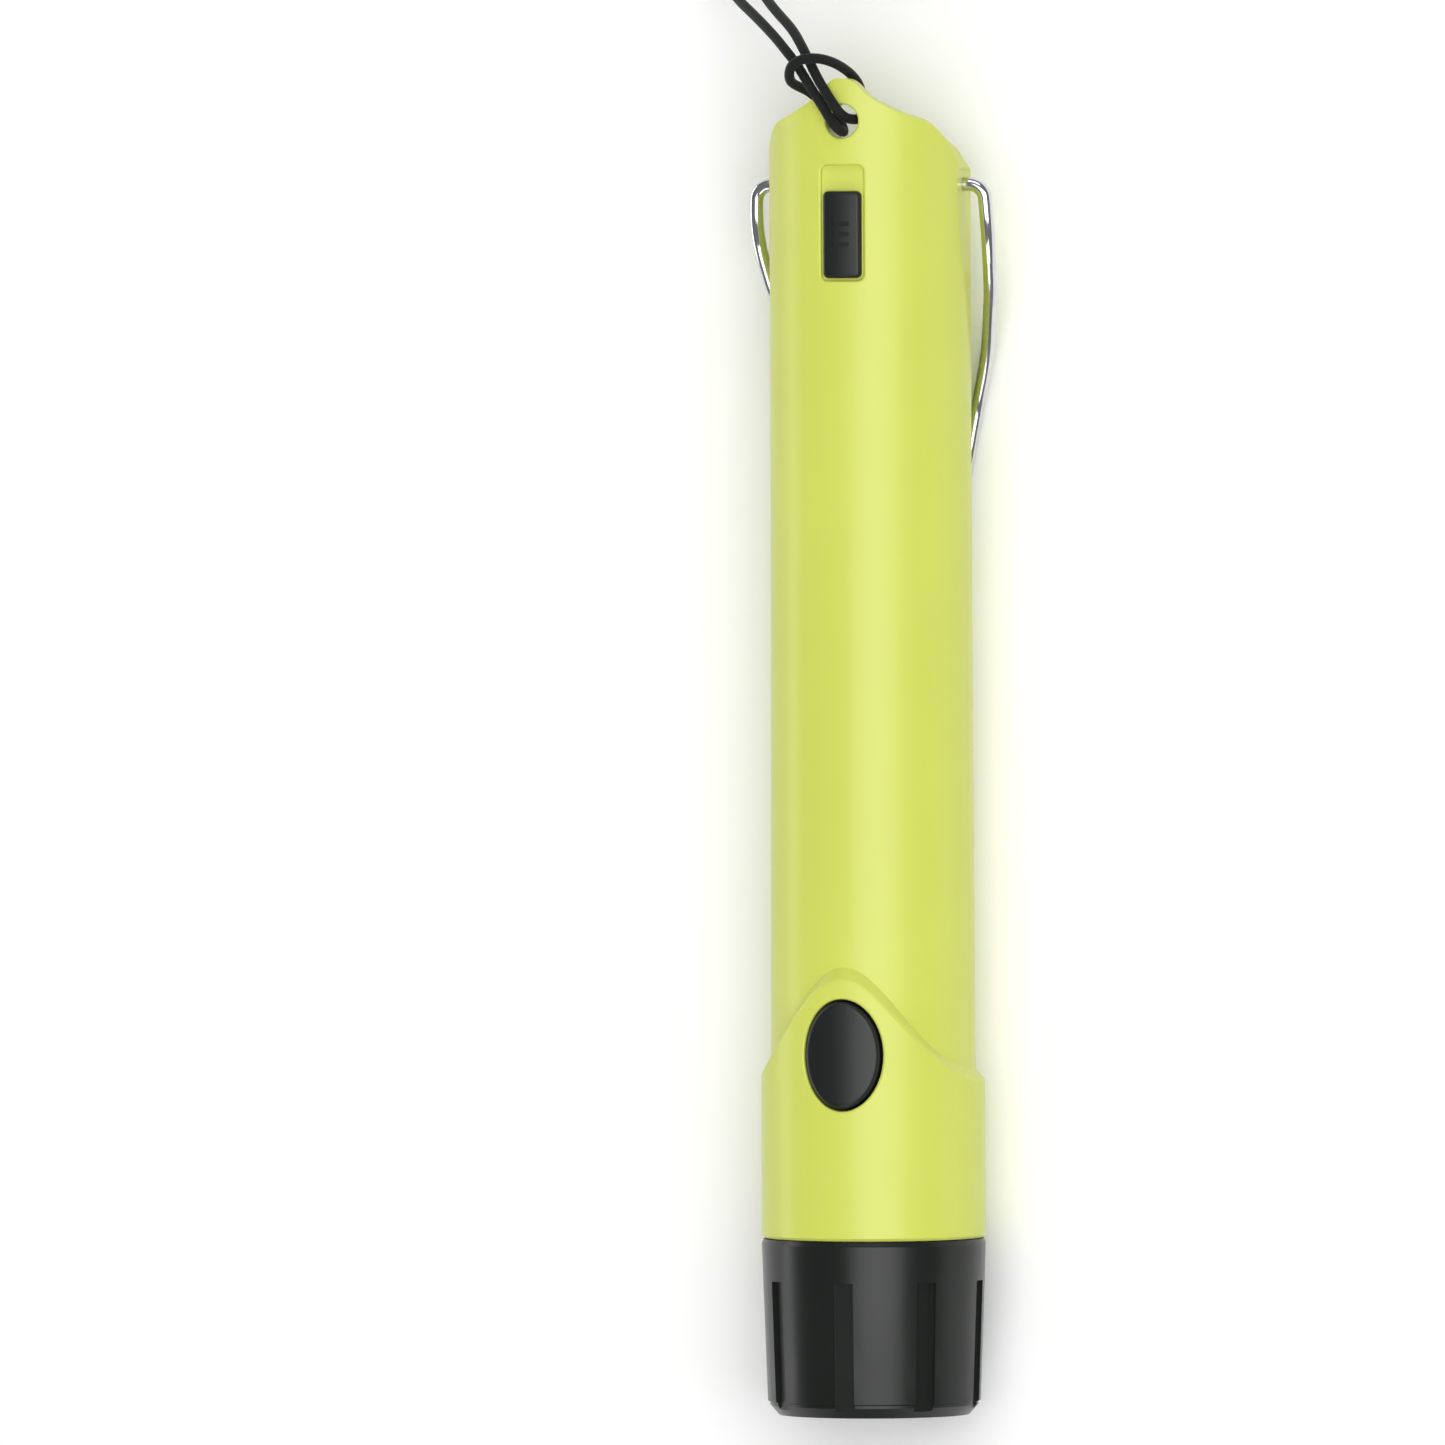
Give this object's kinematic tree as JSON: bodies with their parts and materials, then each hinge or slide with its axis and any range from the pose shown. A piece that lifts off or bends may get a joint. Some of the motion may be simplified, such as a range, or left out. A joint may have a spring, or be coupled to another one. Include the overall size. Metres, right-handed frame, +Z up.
{
  "type": "pinpointer probe",
  "caption": "Handheld pinpointer probe: slim tube with ribbed screw-on search head, oval push button, slide switch, wire belt clip and wrist cord.",
  "frame": {"origin": "bottom centre of the probe as it lies on its back, lanyard cord left out: under the middle of its length, on the surface", "axes": "+Y along the probe's axis from the tip to the lanyard tab, +Z up out of the face with the button and the slide switch, +X to the right of someone who looks at that face with the tab at the top"},
  "size_m": [0.0648, 0.302, 0.04],
  "materials": {
    "lime_plastic": "satin moulded ABS",
    "black_cap_plastic": "satin moulded ABS, ribbed",
    "black_button": "satin elastomer",
    "black_knob": "satin",
    "chrome_wire": "bright",
    "black_cord": "braided polyester",
    "black_rubber": "matte",
    "white_nylon": "matte",
    "copper": "bare or enamelled copper",
    "ferrite": "sintered, matte",
    "green_board": "solder mask",
    "gold_contact": "gold plated",
    "steel": "zinc plated",
    "grey_chassis": "fine texture",
    "cell_jacket": "printed shrink sleeve",
    "chip_black": "matte epoxy",
    "tungsten": "sintered"
  },
  "bodies": {
    "housing": {"main_housing": "lime_plastic", "neck_oring": "black_rubber", "button_seal": "black_rubber", "chassis": "grey_chassis", "contact_plate": "green_board", "spring_pins": "gold_contact", "plate_screws": "steel", "battery_front": "cell_jacket", "battery_rear": "cell_jacket", "battery_spring": "steel", "rear_contact": "steel", "main_circuit_board": "green_board", "board_screws": "steel", "control_chip": "chip_black", "board_components": "chip_black", "tactile_switch": "steel", "slide_switch": "steel", "buzzer": "chip_black", "motor_can": "steel", "lanyard_cord": "black_cord", "lanyard_hank": "black_cord", "lanyard_tie": "black_cord", "lanyard_knot": "black_cord"},
    "washer_slider": {"cap_washer": "white_nylon"},
    "screw_cap": {"ribbed_cap": "black_cap_plastic", "coil_bobbin": "white_nylon", "coil_winding": "copper", "ferrite_core": "ferrite", "ring_board": "green_board", "contact_rings": "gold_contact", "coil_screws": "steel"},
    "push_button": {"oval_button": "black_button", "switch_plunger": "chip_black"},
    "slide_knob": {"slide_knob": "black_knob", "switch_actuator": "chip_black"},
    "belt_clip": {"wire_clip": "chrome_wire"},
    "motor_rotor": {"motor_shaft": "steel", "eccentric_weight": "tungsten"}
  },
  "joints": [
    {"name": "cap_travel", "type": "slide", "parent": "housing", "child": "washer_slider", "axis": [0, -1, 0], "range_m": [0, 0.006]},
    {"name": "cap_turn", "type": "hinge", "parent": "washer_slider", "child": "screw_cap", "pos_m": [0, -0.09845, 0.01905], "axis": [0, -1, 0], "range_deg": [0, 720]},
    {"name": "button_press", "type": "slide", "parent": "housing", "child": "push_button", "axis": [0, 0, -1], "range_m": [0, 0.0012], "stiffness_N_per_m": 1200, "springref_m": -0.0008},
    {"name": "switch_slide", "type": "slide", "parent": "housing", "child": "slide_knob", "axis": [0, 1, 0], "range_m": [0, 0.004]},
    {"name": "clip_open", "type": "hinge", "parent": "housing", "child": "belt_clip", "pos_m": [0, 0.09555, 0.01905], "axis": [1, 0, 0], "range_deg": [0, 12], "stiffness_Nm_per_rad": 0.6, "springref_deg": -20.05},
    {"name": "rotor_spin", "type": "hinge", "parent": "housing", "child": "motor_rotor", "pos_m": [0, 0.06155, 0.01605], "axis": [0, 1, 0], "continuous": true}
  ],
  "couplings": [
    {"joint": "cap_turn", "follows": "cap_travel", "rad_per_m": 2094.4}
  ]
}
